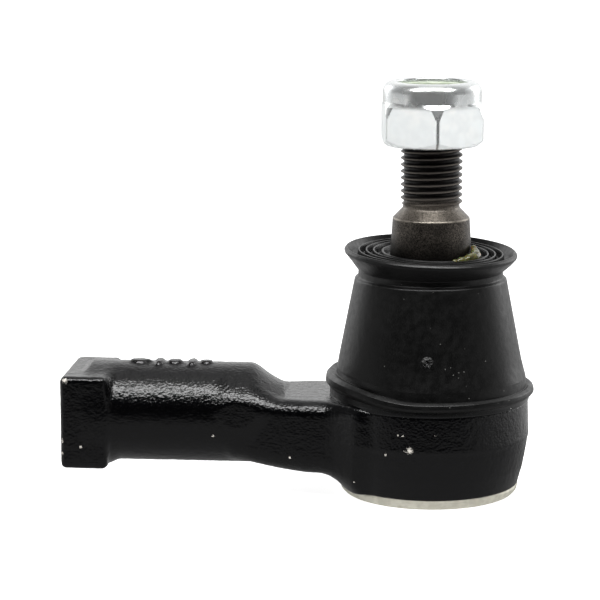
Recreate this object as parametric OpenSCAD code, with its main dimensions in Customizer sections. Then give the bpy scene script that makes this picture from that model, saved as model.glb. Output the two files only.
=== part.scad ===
// Tie rod end: a ball joint on a forged arm with an internally threaded shank.
// The origin is the centre of the ball. +Z runs up the stud and the shank points along -X.

/* [Ball stud] */
// Diameter of the ball
ball_d = 27; // [22:0.5:34]
// Diameter of the neck between the ball and the land
neck_d = 14.8; // [11:0.2:16.4]
// Outer diameter of the stud thread
thread_d = 14; // [11:0.5:17]
// Pitch of the stud thread
thread_pitch = 1.5; // [1:0.25:2]
// Height of the stud's end above the ball centre
stud_top = 71.5; // [66:0.5:86]
// Height of the small end of the taper
taper_top = 44.6; // [41:0.1:46]
// Length of the taper
taper_length = 12; // [10:0.5:12.4]
// Diameter of the small end of the taper
taper_small_d = 17.44; // [16:0.1:21]
// Length over which the taper widens by one unit of diameter
taper_ratio = 8; // [6:1:10]
// Height of the land that carries the boot's neck ring
land_length = 6.6; // [5:0.2:8]
// Depth of the flat on the bottom of the ball
ball_flat = 0.9; // [0.4:0.1:2]
// Steepest lean of the stud that the socket mouth clears, in degrees
lean_limit = 22; // [15:0.5:23]

/* [Socket] */
// Wall of the plastic seats at the ball's equator
seat_wall = 2.5; // [2:0.1:3.5]
// Wall of the spigot that the boot seals on
spigot_wall = 4.45; // [3:0.05:6]
// Width of the machined flange round the spigot
flange_width = 2.25; // [1.5:0.05:3]
// Height of the flange's upper face above the ball centre
flange_top = 5; // [4:0.1:6]
// Height of the machined band on the flange
band_height = 1.7; // [1:0.1:2.5]
// Thickness of the lip over the upper seat
mouth_lip = 2.8; // [2:0.1:4]
// Width of the step from the upper seat's edge to the socket mouth
mouth_step = 1.8; // [1.2:0.1:2.2]
// Chamfer round the top of the spigot
spigot_chamfer = 2.2; // [0.8:0.1:2.6]

/* [End cover and spring] */
// Depth of the lower seat's floor under the ball
seat_floor = 0.5; // [0.4:0.1:1.5]
// Height of the disc spring
spring_height = 2; // [1.8:0.1:3]
// Thickness of the disc spring
spring_thickness = 1.1; // [0.8:0.1:1.3]
// Thickness of the end cover
cover_thickness = 1.45; // [1.2:0.05:2.5]
// Thickness of the lip rolled over the cover
lip_thickness = 0.95; // [0.7:0.05:1.5]

/* [Arm and shank] */
// Distance from the ball centre to the end of the shank
shank_reach = 83.7; // [76:0.1:100]
// Diameter of the round part of the shank
shank_d = 23; // [21:0.5:27]
// Drop of the shank's axis below the ball centre
shank_drop = 1.3; // [0:0.1:2.5]
// Distance from the ball centre to the thick end of the shank
shoulder_reach = 42; // [40:0.5:48]
// Outer diameter of the shank's internal thread
shank_thread_d = 16; // [12:1:18]
// Depth of the shank's threaded hole
shank_thread_depth = 38; // [25:1:40]
// Height of the arm's flat top above the ball centre
arm_top = 4; // [2.5:0.1:4.2]
// Width of the arm at its narrowest
arm_width = 27; // [24:0.5:33]

/* [Wrench block] */
// Length of the block with the wrench flats
block_length = 10.7; // [8:0.1:14]
// Width across the wrench flats
block_width = 24.5; // [23.5:0.5:30]
// Height of the block
block_height = 21.4; // [20.5:0.5:26]
// Drop of the block's middle below the shank's axis
block_drop = 0.8; // [0:0.1:0.8]

/* [Boot] */
// Height of the boot's rim above the ball centre
boot_top = 37.6; // [34.5:0.1:38]
// Radius of the boot's flared rim
rim_r = 19.65; // [18.5:0.05:24]
// Radius of the waist under the rim
waist_r = 16.4; // [15.5:0.1:19.6]
// Width of the bead round the boot's base
bead_width = 3.4; // [3:0.1:4.5]
// Thickness of the boot's wall
boot_wall = 2; // [1.2:0.1:3]
// Height of the bead's lower edge below the flange's upper face
bead_skirt = 0.7; // [0.3:0.1:1]

/* [Lock nut] */
// Width across the nut's flats
nut_af = 22; // [20:0.5:27]
// Height of the hexagon
hex_height = 10; // [8:0.5:13]
// Height of the round collar that holds the insert
collar_height = 4.4; // [3.5:0.1:6]
// Height of the nut's lower face above the ball centre, as supplied
nut_seat = 61.1; // [54:0.1:62]
// Turn of the nut about the stud, as supplied, in degrees from a corner that faces -Y
nut_clock = 8; // [0:1:59]

/* [Fits] */
// Running clearance round the ball and the stud
running_gap = 0.05; // [0.02:0.01:0.1]
// Clearance between pieces that are pressed or clipped together
assembly_gap = 0.05; // [0.02:0.01:0.1]
// Clearance between the rubber lips and the stud
lip_gap = 0.3; // [0.2:0.05:0.5]

/* [Hidden] */
$fn = 96;
overlap = 0.5;

// Stud, from the ball upwards
ball_r = ball_d / 2;
neck_r = neck_d / 2;
thread_r = thread_d / 2;
thread_low = taper_top + 2.4;
land_top = taper_top - taper_length;
land_low = land_top - land_length;
land_r = taper_small_d / 2 + taper_length / taper_ratio / 2;

// Socket, from the ball outwards
ball_seat_r = ball_r + running_gap;
seat_r = ball_r + seat_wall;
bore_r = seat_r + assembly_gap;
mouth_angle = asin(neck_r / ball_r) + lean_limit;
seat_top = ball_r * cos(mouth_angle);
mouth_r = ball_r * sin(mouth_angle) + mouth_step;
seat_split = 0.4;
shoulder_z = seat_top + assembly_gap;
spigot_top = shoulder_z + mouth_lip;
spigot_r = bore_r + spigot_wall;
flange_r = spigot_r + flange_width;
band_low = flange_top - band_height;
socket_r = flange_r - 0.15;

// Under the ball, downwards
seat_low = -ball_r - seat_floor;
spring_top = seat_low - assembly_gap;
cover_top = spring_top - spring_height - assembly_gap;
cover_low = cover_top - cover_thickness;
cover_r = bore_r + 1.5;
ledge_z = cover_top + assembly_gap;
lip_top = cover_low - assembly_gap;
socket_low = lip_top - lip_thickness;
lip_round = 2;
seat_hole_r = ball_r * 0.55;

// Arm and shank
shank_r = shank_d / 2;
shank_thread_r = shank_thread_d / 2 - 0.54 * thread_pitch;
arm_root = -(shoulder_reach + 4);
arm_waist = -(flange_r + 3.3);
arm_join = -(flange_r - 7);
arm_low = -shank_drop - shank_r + 0.2;
arm_round = 4.5;
block_z = -shank_drop - block_drop;
block_round = 1.4;

// Boot
ring_low = land_low + 1;
ring_high = land_top - 1;
ring_r = land_r + running_gap;
ring_width = 2;
ring_groove_r = ring_r + ring_width + assembly_gap;
base_ring_r = spigot_r + assembly_gap;
base_ring_width = 1.2;
base_groove_r = base_ring_r + base_ring_width + assembly_gap;
base_ring_low = flange_top + 0.5;
base_ring_high = spigot_top - spigot_chamfer;
bead_r = spigot_r + bead_width;
bead_low = flange_top - bead_skirt;
bead_high = spigot_top - 1.35;
skirt_r = flange_r + 0.1;
boot_foot_r = bead_r - 2.3;
skirt_slope = boot_foot_r - 0.8 - waist_r;
boot_low_z = bead_high + 1.8;
boot_high_z = boot_top - 5.6;
head_low = land_low - 0.5;
dish_floor = boot_top - 1.9;
ridge_width = 0.8;
ridge_pitch = 1.85;

// Nut
nut_r = nut_af / 2;
nut_bore_r = thread_r + running_gap;
hex_top = nut_seat + hex_height;
nut_top = hex_top + collar_height;
insert_low = hex_top + 0.4;
insert_high = nut_top - 0.85;
insert_r = nut_r - 1.5;
collar_round = 2.4;
countersink = 0.7;

// Points of an arc, from one angle to another
function arc(cx, cy, r, from, to, steps = 8) =
    [for (i = [0:steps]) let(a = from + (to - from) * i / steps) [cx + r * cos(a), cy + r * sin(a)]];

// A rectangle with round corners, centred on its own middle
function round_rectangle(w, h, r) = concat(
    arc(w / 2 - r, h / 2 - r, r, 0, 90), arc(r - w / 2, h / 2 - r, r, 90, 180),
    arc(r - w / 2, r - h / 2, r, 180, 270), arc(w / 2 - r, r - h / 2, r, 270, 360));

// A point on the boot's wall, a share of the way up, some depth inside the outer face
function wall_point(share, depth = 0) =
    [waist_r + 0.8 + (skirt_slope - 0.8) * pow(1 - share, 1.25) - depth,
        boot_low_z + (boot_high_z - boot_low_z) * share];

module turned(points) rotate_extrude() polygon(points);

// Turns a profile of radius and distance about the shank's axis, towards the shank's end
module on_shank_axis() translate([0, 0, -shank_drop]) rotate([0, -90, 0]) children();

module socket_blank() {
    turned(concat(
        [[0, spigot_top], [spigot_r - spigot_chamfer, spigot_top], [spigot_r, spigot_top - spigot_chamfer],
            [spigot_r, flange_top], [flange_r, flange_top], [flange_r, band_low],
            [socket_r - 0.3, band_low - 0.3], [socket_r, -ball_r * 0.37],
            [socket_r - 0.9, -ball_r * 0.9], [socket_r - 2.3, lip_top + 1.1]],
        arc(socket_r - 2.3 - lip_round, socket_low + lip_round, lip_round, 0, -90),
        [[0, socket_low]]));
}

module socket_bore() {
    turned([[0, shoulder_z], [mouth_r, shoulder_z], [mouth_r + mouth_lip * 0.7, spigot_top],
        [mouth_r + mouth_lip * 0.7, spigot_top + overlap], [0, spigot_top + overlap]]);
    translate([0, 0, ledge_z]) cylinder(h = shoulder_z - ledge_z, r = bore_r);
    translate([0, 0, lip_top]) cylinder(h = ledge_z - lip_top, r = cover_r + assembly_gap);
    translate([0, 0, socket_low - overlap]) cylinder(h = lip_thickness + 2 * overlap, r = bore_r);
}

// One upright slice of the arm, at a distance along X
module arm_slice(x, width, low, round) {
    translate([x, 0, (arm_top + low) / 2]) rotate([90, 0, 90])
        linear_extrude(0.1) polygon(round_rectangle(width, arm_top - low, round));
}

module arm() {
    hull() {
        arm_slice(arm_root, shank_d - 3, arm_low, (arm_top - arm_low) / 2 - 0.1);
        arm_slice(arm_waist, arm_width, arm_low, arm_round);
    }
    hull() {
        arm_slice(arm_waist, arm_width, arm_low, arm_round);
        arm_slice(arm_join, arm_width + 5, arm_low - 3.4, arm_round);
    }
}

// The round shank, with a shoulder that falls to the arm's top in an S-shaped curve
module shank_blank() {
    drop = shank_r - arm_top - shank_drop;
    fall = 9;
    shoulder = [for (i = [0:12]) let(t = i / 12)
        [shank_r - drop * (1 - cos(180 * t)) / 2, shoulder_reach - fall * t]];
    on_shank_axis() turned(concat(
        [[0, shank_reach - block_length + overlap], [shank_r, shank_reach - block_length + overlap]],
        shoulder, [[0, shoulder_reach - fall]]));
}

module wrench_block() {
    translate([-shank_reach, 0, block_z]) rotate([90, 0, 90])
        linear_extrude(block_length) polygon(round_rectangle(block_width, block_height, block_round));
}

module shank_hole() {
    deep = shank_reach - shank_thread_depth;
    on_shank_axis() turned([[0, deep - shank_thread_r * 0.6], [shank_thread_r, deep],
        [shank_thread_r, shank_reach - 1.2], [shank_thread_r + 1.2, shank_reach],
        [shank_thread_r + 1.2, shank_reach + overlap], [0, shank_reach + overlap]]);
}

// The forging: socket, arm, shank and wrench block in one piece
module housing() {
    color("#1d1e20") difference() {
        union() {
            socket_blank();
            arm();
            shank_blank();
            wrench_block();
        }
        socket_bore();
        shank_hole();
    }
}

module ball_stud() {
    flat_z = -ball_r + ball_flat;
    color("#7d746a") {
        difference() {
            sphere(r = ball_r);
            translate([0, 0, flat_z - ball_r]) cylinder(h = ball_r, r = ball_r);
        }
        turned([[0, 0], [neck_r, 0], [neck_r, land_low - 3], [land_r, land_low], [land_r, land_top],
            [taper_small_d / 2, taper_top], [thread_r - 0.4, thread_low - 0.4],
            [thread_r - 0.6, thread_low + 0.6], [thread_r, thread_low + 1.2],
            [thread_r, stud_top - 1], [thread_r - 1, stud_top], [0, stud_top]]);
    }
}

module upper_seat() {
    color("#e6e0cf") difference() {
        translate([0, 0, seat_split]) cylinder(h = seat_top - seat_split, r = seat_r);
        sphere(r = ball_seat_r);
    }
}

module lower_seat() {
    color("#e6e0cf") difference() {
        translate([0, 0, seat_low]) cylinder(h = -seat_split - seat_low, r = seat_r);
        sphere(r = ball_seat_r);
        translate([0, 0, seat_low - overlap]) cylinder(h = ball_r, r = seat_hole_r);
    }
}

// A coned disc that pushes the lower seat up against the ball
module preload_spring() {
    inner = seat_hole_r + 0.6;
    outer = seat_r - 0.4;
    sink = spring_height - spring_thickness;
    color("#8d9094") turned([[inner, spring_top], [outer, spring_top - sink],
        [outer, spring_top - spring_height], [inner, spring_top - spring_thickness]]);
}

// The closing plate, with a shallow pressed dish
module end_cover() {
    dish_r = cover_r * 0.5;
    dish_rise = 0.5;
    color("#b9bab5") turned([[0, cover_top], [cover_r, cover_top], [cover_r, cover_low],
        [dish_r + 0.8, cover_low], [dish_r, cover_low + dish_rise], [0, cover_low + dish_rise]]);
}

module boot_base_ring() {
    color("#8d9094") turned([[base_ring_r, base_ring_low], [base_ring_r + base_ring_width, base_ring_low],
        [base_ring_r + base_ring_width, base_ring_high], [base_ring_r, base_ring_high]]);
}

module boot_outside() {
    skin = concat(
        [[skirt_r, bead_low]], arc(bead_r - 1.4, bead_low + 1.3, 1.4, -70, 0, 6),
        arc(bead_r - 2, bead_high - 2, 2, 0, 80, 6),
        [[boot_foot_r, bead_high + 0.4], wall_point(0),
            wall_point(0.26), wall_point(0.72), [waist_r + 0.8, boot_high_z], [waist_r, boot_top - 3.5],
            [waist_r + 0.9, boot_top - 2], [waist_r + 2, boot_top - 0.9], [rim_r, boot_top - 0.1],
            [rim_r - 0.3, boot_top], [rim_r - 0.9, boot_top - 0.2], [rim_r - 2.2, dish_floor],
            [0, dish_floor]]);
    turned(concat([[0, bead_low]], skin));
}

// The hollow of the boot, open to the socket below and to the stud above
module boot_inside() {
    turned([[0, bead_low - overlap], [skirt_r, bead_low - overlap], [skirt_r, flange_top + assembly_gap],
        [base_ring_r, flange_top + assembly_gap], [base_ring_r, base_ring_low - assembly_gap],
        [base_groove_r, base_ring_low - assembly_gap], [base_groove_r, base_ring_high + assembly_gap],
        [base_ring_r, base_ring_high + assembly_gap],
        [base_ring_r - spigot_chamfer, base_ring_high + spigot_chamfer + assembly_gap],
        wall_point(0.26, boot_wall), [wall_point(0.7, boot_wall)[0], head_low - 2],
        [wall_point(0.7, boot_wall)[0] - 2, head_low], [land_r + lip_gap, head_low],
        [land_r + lip_gap, ring_low - assembly_gap], [ring_groove_r, ring_low - assembly_gap],
        [ring_groove_r, ring_high + assembly_gap], [land_r + lip_gap, ring_high + assembly_gap],
        [land_r + lip_gap, dish_floor - 1], [land_r + 1.4, dish_floor],
        [land_r + 1.4, boot_top + overlap], [0, boot_top + overlap]]);
}

// Three sealing ridges and an inner lip stand in the dish of the rim
module boot_ridges() {
    inner = land_r + 1.4;
    for (i = [0:3]) {
        middle = inner + ridge_width / 2 + i * ridge_pitch;
        foot = ridge_width / 2;
        crest = ridge_width * 0.3;
        turned([[middle - foot, dish_floor - overlap], [middle + foot, dish_floor - overlap],
            [middle + crest, boot_top - 0.4], [middle - crest, boot_top - 0.4]]);
    }
}

module dust_boot() {
    color("#232325") {
        difference() {
            boot_outside();
            boot_inside();
        }
        boot_ridges();
    }
}

module boot_neck_ring() {
    color("#8d9094") translate([0, 0, ring_low]) difference() {
        cylinder(h = ring_high - ring_low, r = ring_r + ring_width);
        translate([0, 0, -overlap]) cylinder(h = ring_high - ring_low + 2 * overlap, r = ring_r);
    }
}

module nut_insert() {
    color("#dfe6d8") translate([0, 0, insert_low]) difference() {
        cylinder(h = insert_high - insert_low, r = insert_r);
        translate([0, 0, -overlap]) cylinder(h = insert_high - insert_low + 2 * overlap, r = nut_bore_r);
    }
}

module nut_blank() {
    corner_r = nut_r / cos(30);
    chamfer = (corner_r - nut_r + 0.9) * tan(30);
    intersection() {
        translate([0, 0, nut_seat]) rotate([0, 0, nut_clock - 90])
            cylinder(h = hex_height, r = corner_r, $fn = 6);
        turned([[0, nut_seat], [nut_r - 0.9, nut_seat], [corner_r, nut_seat + chamfer],
            [corner_r, hex_top - chamfer], [nut_r - 0.9, hex_top], [0, hex_top]]);
    }
    turned(concat([[0, hex_top - 1], [nut_r - 0.2, hex_top - 1]],
        arc(nut_r - 0.2 - collar_round, nut_top - collar_round, collar_round, 0, 75),
        [[nut_r - collar_round - 1, nut_top], [0, nut_top]]));
}

module lock_nut() {
    color("#c8ced6") difference() {
        nut_blank();
        translate([0, 0, nut_seat - overlap]) cylinder(h = hex_height + collar_height, r = nut_bore_r);
        translate([0, 0, nut_seat - overlap])
            cylinder(h = overlap + countersink, r1 = nut_bore_r + countersink + overlap, r2 = nut_bore_r);
        translate([0, 0, insert_low - assembly_gap])
            cylinder(h = insert_high - insert_low + 2 * assembly_gap, r = insert_r + assembly_gap);
        translate([0, 0, insert_high - overlap]) cylinder(h = 2 * overlap + 1, r = nut_bore_r + 0.75);
    }
}

housing();
ball_stud();
upper_seat();
lower_seat();
preload_spring();
end_cover();
boot_base_ring();
dust_boot();
boot_neck_ring();
nut_insert();
lock_nut();
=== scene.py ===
import math

import bmesh
import bpy
import numpy as np
from mathutils import Matrix, Vector, noise


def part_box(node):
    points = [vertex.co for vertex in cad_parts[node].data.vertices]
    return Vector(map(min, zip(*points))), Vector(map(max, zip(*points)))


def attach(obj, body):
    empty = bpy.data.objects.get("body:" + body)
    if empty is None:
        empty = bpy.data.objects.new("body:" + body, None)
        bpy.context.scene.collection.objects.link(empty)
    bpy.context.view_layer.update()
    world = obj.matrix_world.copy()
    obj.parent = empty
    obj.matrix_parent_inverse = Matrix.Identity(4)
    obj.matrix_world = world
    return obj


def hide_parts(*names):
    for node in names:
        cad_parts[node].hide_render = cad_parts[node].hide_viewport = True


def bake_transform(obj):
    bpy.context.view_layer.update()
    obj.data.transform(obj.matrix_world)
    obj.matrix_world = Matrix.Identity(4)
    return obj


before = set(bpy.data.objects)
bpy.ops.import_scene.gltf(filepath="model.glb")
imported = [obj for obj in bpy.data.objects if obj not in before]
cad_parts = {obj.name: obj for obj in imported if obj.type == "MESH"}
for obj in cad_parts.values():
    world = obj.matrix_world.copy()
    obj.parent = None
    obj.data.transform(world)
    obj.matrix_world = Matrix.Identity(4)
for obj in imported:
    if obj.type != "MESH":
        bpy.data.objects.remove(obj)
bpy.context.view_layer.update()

mm = 0.001
fullTurn = 2 * math.pi


def nodeBox(node):
    low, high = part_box(node)
    return np.array(low) / mm, np.array(high) / mm


# Places that the pieces share, from the frame, in millimetres.
shankEnd, socketLow = nodeBox("housing")[0][[0, 2]]
studTop, bootTop = nodeBox("ball_stud")[1][2], nodeBox("dust_boot")[1][2]
nutLow, nutHigh = [corner[2] for corner in nodeBox("lock_nut")]
insertLow, insertHigh = [corner[2] for corner in nodeBox("nut_insert")]
neckRingLow, neckRingHigh = [corner[2] for corner in nodeBox("boot_neck_ring")]


# Mesh helpers. Their sizes are millimetres too.

def makePiece(name, points, faces, sharpAngle=38, weld=0.0008):
    mesh = bpy.data.meshes.new(name)
    mesh.from_pydata((np.asarray(points, float) * mm).tolist(), [], [list(f) for f in faces])
    work = bmesh.new()
    work.from_mesh(mesh)
    bmesh.ops.remove_doubles(work, verts=work.verts, dist=weld * mm)
    bmesh.ops.dissolve_degenerate(work, dist=weld * mm, edges=work.edges)
    bmesh.ops.recalc_face_normals(work, faces=work.faces)
    work.to_mesh(mesh)
    work.free()
    mesh.shade_smooth()
    mesh.set_sharp_from_angle(angle=math.radians(sharpAngle))
    piece = bpy.data.objects.new(name, mesh)
    bpy.context.scene.collection.objects.link(piece)
    return piece


def finishPiece(piece, material, slotName, body, *nodes):
    piece.data.materials.append(material)
    if body:
        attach(piece, body)
    if nodes:
        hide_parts(*nodes)
    return piece


def roundCorners(corners, steps=4):
    # corners are (radius, height, rounding), and each rounded one becomes an arc
    line, count = [], len(corners)
    for i, (r, z, rounding) in enumerate(corners):
        here = np.array([r, z], float)
        if rounding <= 0:
            line.append(here)
            continue
        before = np.array(corners[i - 1][:2], float) - here
        after = np.array(corners[(i + 1) % count][:2], float) - here
        lengths = max(np.linalg.norm(before), 1e-9), max(np.linalg.norm(after), 1e-9)
        u, v = before / lengths[0], after / lengths[1]
        bend = math.acos(float(np.clip(u @ v, -1, 1)))
        if math.pi - bend < 0.02 or min(lengths) < 1e-6:
            line += [here] * (steps + 1)
            continue
        reach = min(rounding / math.tan(bend / 2), 0.48 * lengths[0], 0.48 * lengths[1])
        radius, sweep = reach * math.tan(bend / 2), math.pi - bend
        centre = here + (u + v) / np.linalg.norm(u + v) * radius / math.sin(bend / 2)
        first, last = here + u * reach - centre, here + v * reach - centre
        for s in range(steps + 1):
            a, b = math.sin((1 - s / steps) * sweep), math.sin(s / steps * sweep)
            line.append(centre + (first * a + last * b) / math.sin(sweep))
    return line


def denseLine(line, longest, closed=True):
    dense = []
    for i, here in enumerate(line):
        dense.append(here)
        if i == len(line) - 1 and not closed:
            break
        there = line[(i + 1) % len(line)]
        extra = int(np.linalg.norm(there - here) / longest)
        dense += [here + (there - here) * k / (extra + 1) for k in range(1, extra + 1)]
    return dense


def evenAngles(columns):
    return [fullTurn * j / columns for j in range(columns)]


def spinLine(lineAt, angles, closed=True):
    # lineAt is a line of (radius, height), or a function of the angle that gives one
    lines = [lineAt(a) if callable(lineAt) else lineAt for a in angles]
    rows, columns = len(lines[0]), len(angles)
    points = [(r * math.cos(a), r * math.sin(a), z)
              for a, line in zip(angles, lines) for r, z in line]
    faces = []
    for j in range(columns):
        k = (j + 1) % columns
        for i in range(rows if closed else rows - 1):
            n = (i + 1) % rows
            faces.append((j * rows + i, k * rows + i, k * rows + n, j * rows + n))
    return points, faces


def threadSide(low, high, pitch, anchor, profile, limit, angles):
    # a right-hand thread between two heights: profile is (share of a pitch, radius),
    # and limit trims it at the ends
    turns = range(math.floor((low - anchor) / pitch) - 1, math.ceil((high - anchor) / pitch) + 1)
    points, rows = [], 0
    for turn in turns:
        for share, radius in profile:
            for a in list(angles) + [fullTurn]:
                z = min(max(anchor + pitch * (turn + share + a / fullTurn), low), high)
                r = limit(radius, z)
                points.append((r * math.cos(a), r * math.sin(a), z))
            rows += 1
    across = len(angles) + 1
    faces = [(i * across + j, i * across + j + 1, (i + 1) * across + j + 1, (i + 1) * across + j)
             for i in range(rows - 1) for j in range(across - 1)]
    return points, faces


def joinParts(*parts):
    points, faces = [], []
    for somePoints, someFaces in parts:
        faces += [tuple(i + len(points) for i in f) for f in someFaces]
        points += list(somePoints)
    return points, faces


def threadProfile(pitch, root, crest, ease=0.07):
    # flanks near 60 degrees with eased crests, starting below a crest
    flank = abs(crest - root) * math.tan(math.radians(30)) / pitch
    step = 0.25 * (crest - root)
    return [(-2 * ease, crest - step), (-ease, crest - 0.15 * step), (ease, crest - 0.15 * step),
            (2 * ease, crest - step), (ease + flank, root), (1 - ease - flank, root)]


# Shader helpers.

def newGroup(name, inputs, outputs):
    group = bpy.data.node_groups.new(name, "ShaderNodeTree")
    for label, kind, value in inputs:
        socket = group.interface.new_socket(label, in_out="INPUT", socket_type=kind)
        socket.default_value = value
    for label, kind in outputs:
        group.interface.new_socket(label, in_out="OUTPUT", socket_type=kind)
    return group, group.nodes.new("NodeGroupInput").outputs, group.nodes.new("NodeGroupOutput").inputs


def addNode(tree, kind, settings=None, **values):
    node = tree.nodes.new(kind)
    for key, value in (settings or {}).items():
        setattr(node, key, value)
    for key, value in values.items():
        setInput(tree, node.inputs[key.replace("_", " ")], value)
    return node


def setInput(tree, socket, value):
    if isinstance(value, bpy.types.NodeSocket):
        tree.links.new(value, socket)
    elif isinstance(value, tuple) and socket.type == "RGBA" and len(value) == 3:
        socket.default_value = (*value, 1)
    else:
        socket.default_value = value


def calculate(tree, operation, *values):
    node = addNode(tree, "ShaderNodeMath", {"operation": operation})
    for socket, value in zip(node.inputs, values):
        setInput(tree, socket, value)
    return node.outputs[0]


def spread(tree, value, low, high, newLow=0.0, newHigh=1.0):
    node = addNode(tree, "ShaderNodeMapRange", {"clamp": True})
    for label, number in (("Value", value), ("From Min", low), ("From Max", high),
                          ("To Min", newLow), ("To Max", newHigh)):
        setInput(tree, node.inputs[label], number)
    return node.outputs["Result"]


def mixColours(tree, mask, first, second):
    node = addNode(tree, "ShaderNodeMix", {"data_type": "RGBA"})
    for socket, value in ((node.inputs[0], mask), (node.inputs[6], first), (node.inputs[7], second)):
        setInput(tree, socket, value)
    return node.outputs[2]


def objectPlace(tree):
    place = addNode(tree, "ShaderNodeTexCoord").outputs["Object"]
    x, y, z = addNode(tree, "ShaderNodeSeparateXYZ", Vector=place).outputs
    return place, x, y, z


def distanceFromAxis(tree, x, y):
    squares = [calculate(tree, "MULTIPLY", value, value) for value in (x, y)]
    return calculate(tree, "SQRT", calculate(tree, "ADD", *squares))


def distanceFrom(tree, place, centre):
    # centre is in millimetres
    away = addNode(tree, "ShaderNodeVectorMath", {"operation": "DISTANCE"})
    setInput(tree, away.inputs[0], place)
    away.inputs[1].default_value = [c * mm for c in centre]
    return away.outputs["Value"]


def noiseAt(tree, place, scale, detail=2.0, roughness=0.5):
    return addNode(tree, "ShaderNodeTexNoise", Vector=place, Scale=scale, Detail=detail,
                   Roughness=roughness).outputs["Fac"]


def cellsAt(tree, place, scale):
    # the distance to each cell's centre, and the cell's two random numbers
    cells = addNode(tree, "ShaderNodeTexVoronoi", {"feature": "F1"}, Vector=place, Scale=scale)
    first, second, _ = addNode(tree, "ShaderNodeSeparateColor", Color=cells.outputs["Color"]).outputs
    return cells.outputs["Distance"], first, second


# Grain: uneven height at a coarse and a fine scale, in repeats per metre.
def makeGrainGroup():
    group, given, result = newGroup(
        "grain", [("Coarse Scale", "NodeSocketFloat", 900.0), ("Fine Scale", "NodeSocketFloat", 3500.0),
                  ("Fine Share", "NodeSocketFloat", 0.4)],
        [("Height", "NodeSocketFloat"), ("Mask", "NodeSocketFloat")])
    place = addNode(group, "ShaderNodeTexCoord").outputs["Object"]
    coarse = noiseAt(group, place, given["Coarse Scale"], 1.0, 0.5)
    fine = noiseAt(group, place, given["Fine Scale"], 2.0, 0.6)
    height = calculate(group, "MULTIPLY_ADD", fine, given["Fine Share"], coarse)
    group.links.new(height, result["Height"])
    group.links.new(spread(group, coarse, 0.35, 0.65), result["Mask"])
    return group


# Chips: small sparse spots where the finish is knocked off.
def makeChipsGroup():
    group, given, result = newGroup(
        "chips", [("Scale", "NodeSocketFloat", 160.0), ("Size", "NodeSocketFloat", 0.09),
                  ("Share", "NodeSocketFloat", 0.2)],
        [("Mask", "NodeSocketFloat")])
    place = addNode(group, "ShaderNodeTexCoord").outputs["Object"]
    wobble = addNode(group, "ShaderNodeTexNoise", Vector=place, Scale=2600.0, Detail=1.0)
    shift = addNode(group, "ShaderNodeVectorMath", {"operation": "MULTIPLY_ADD"})
    for socket, value in zip(shift.inputs, (wobble.outputs["Color"], (0.7 * mm,) * 3, place)):
        setInput(group, socket, value)
    distance, lot, size = cellsAt(group, shift.outputs[0], given["Scale"])
    inside = calculate(group, "LESS_THAN", distance, calculate(group, "MULTIPLY", size, given["Size"]))
    chosen = calculate(group, "LESS_THAN", lot, given["Share"])
    group.links.new(calculate(group, "MULTIPLY", inside, chosen), result["Mask"])
    return group


# Dust: pale fine specks and faint smears.
def makeDustGroup():
    group, given, result = newGroup(
        "dust", [("Speck Scale", "NodeSocketFloat", 1500.0), ("Speck Share", "NodeSocketFloat", 0.3),
                 ("Smear Scale", "NodeSocketFloat", 90.0)],
        [("Specks", "NodeSocketFloat"), ("Smears", "NodeSocketFloat")])
    place = addNode(group, "ShaderNodeTexCoord").outputs["Object"]
    distance, lot, _ = cellsAt(group, place, given["Speck Scale"])
    near = calculate(group, "LESS_THAN", distance, 0.22)
    area = spread(group, noiseAt(group, place, given["Smear Scale"], 4.0, 0.6), 0.5, 0.68)
    chosen = calculate(group, "LESS_THAN", lot, calculate(group, "MULTIPLY", area, given["Speck Share"]))
    group.links.new(calculate(group, "MULTIPLY", near, chosen), result["Specks"])
    group.links.new(area, result["Smears"])
    return group


grainGroup, chipsGroup, dustGroup = makeGrainGroup(), makeChipsGroup(), makeDustGroup()


def useGroup(tree, group, **values):
    node = tree.nodes.new("ShaderNodeGroup")
    node.node_tree = group
    for key, value in values.items():
        setInput(tree, node.inputs[key.replace("_", " ")], value)
    return node.outputs


def newMaterial(name, **values):
    material = bpy.data.materials.new(name)
    material.use_nodes = True
    tree = material.node_tree
    shader = tree.nodes["Principled BSDF"]
    for key, value in values.items():
        setInput(tree, shader.inputs[key.replace("_", " ")], value)
    return material, tree, shader


def bumpInto(tree, shader, height, depth, strength=1.0):
    bump = addNode(tree, "ShaderNodeBump", Strength=strength, Distance=depth * mm, Height=height)
    tree.links.new(bump.outputs["Normal"], shader.inputs["Normal"])


# Forging: one grown-together body from a distance function, with fillets where its parts meet.

forging = {
    "cell": 0.45,
    "socketFillet": 4.5,
    "shoulderFillet": 5.0,
    "undersideFillet": 1.5,
    "blockFillet": 2.2,
    "armTop": 4.0,
    "blockLength": 10.7,
    "blockHalves": (12.25, 10.7),
    "skin": 0.05,
    "lipHeight": -16.5,
    "wallHeights": (-18.6, -16.5, -12, -7.5, -4, 3.3),
    "wallRadii": (19.0, 20.3, 21.5, 22.3, 22.7, 22.5),
    # raised pads on top of the shank: place along it, half length, half width
    "pads": ((-66.6, 2.3, 1.5), (-62.2, 1.0, 2.6), (-58.6, 1.6, 1.6), (-54.6, 1.0, 2.6), (-51.4, 1.3, 1.3)),
}

shankAxis = -1.3
shankRadius = 11.5
shoulderStart, shoulderFall = -41.6, 9.5
blockEnd = shankEnd + forging["blockLength"]
spigotRadius = 20.5
flangeRadius = 22.75
flangeHigh, flangeLow = 5.0, 3.3
boreRadius = 16.05
holeEnd = -44.6


def easeBetween(value, low, high):
    t = np.clip((value - low) / (high - low), 0, 1)
    return t * t * (3 - 2 * t)


def roundUnion(first, second, radius):
    u, v = np.maximum(radius - first, 0), np.maximum(radius - second, 0)
    return np.maximum(radius, np.minimum(first, second)) - np.sqrt(u * u + v * v)


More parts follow.
